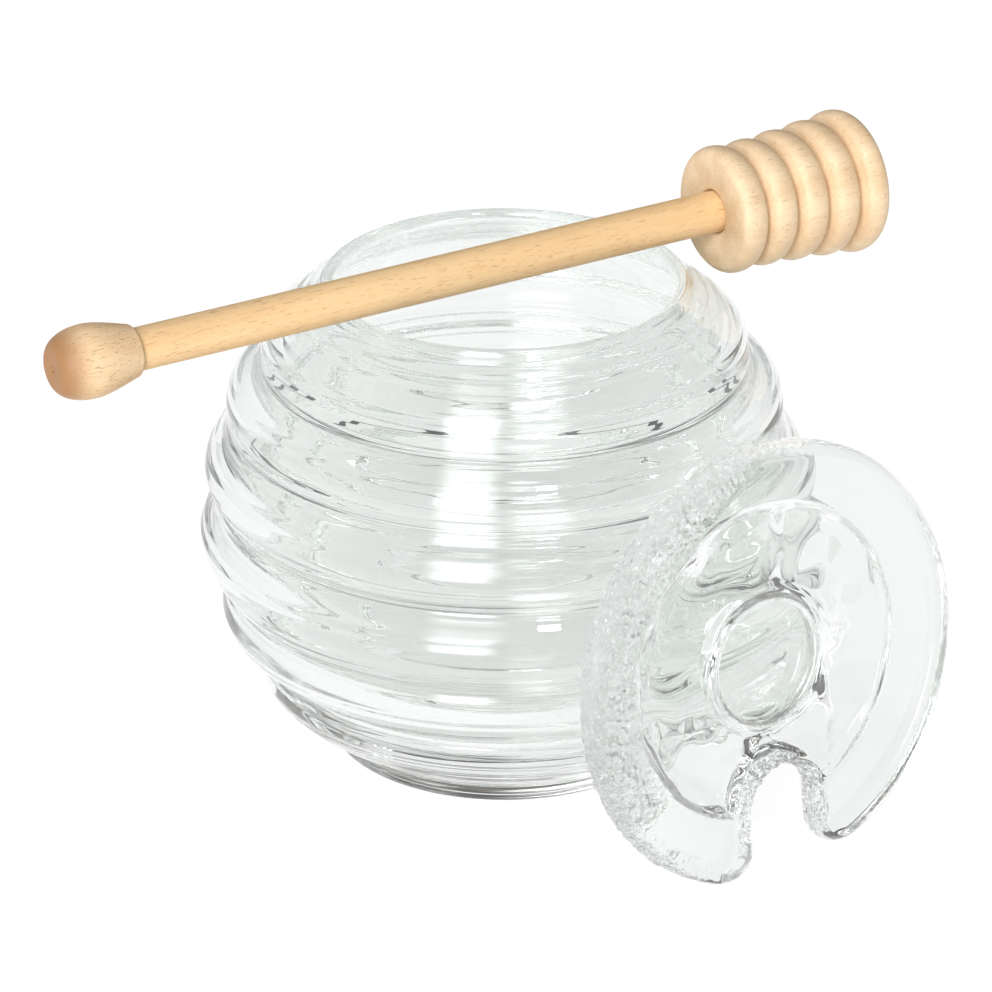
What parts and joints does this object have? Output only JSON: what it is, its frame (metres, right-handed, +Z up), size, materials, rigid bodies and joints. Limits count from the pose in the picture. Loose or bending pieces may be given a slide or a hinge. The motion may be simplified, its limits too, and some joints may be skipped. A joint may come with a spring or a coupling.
{
  "type": "honey pot",
  "caption": "Clear glass honey pot ribbed like a beehive, with a flat slotted glass lid leaning against its side and a turned wooden honey dipper lying across its open mouth",
  "frame": {"origin": "centre of the flat underside of the pot's foot, on the surface that the pot stands on", "axes": "+Z up along the pot's own axis of revolution; +X to the right in the picture, the way the dipper's head points; -Y towards the viewer, where the lid stands"},
  "size_m": [0.1643, 0.1373, 0.1108],
  "materials": {
    "clear_glass": "clear, faintly grey-green, polished, softly ribbed",
    "pressed_glass": "clear pressed glass, faces smooth, side wall and slot walls crackled",
    "handle_wood": "warm tan beech, satin, short dark flecks along the grain",
    "pale_wood": "pale turned beech, unvarnished, fine turning marks",
    "end_knob_wood": "pale turned beech, satin, darker end grain"
  },
  "bodies": {
    "root": {"pot": "clear_glass", "lid": "pressed_glass", "dipper_handle": "handle_wood", "dipper_head": "pale_wood", "dipper_knob": "end_knob_wood"}
  },
  "joints": []
}
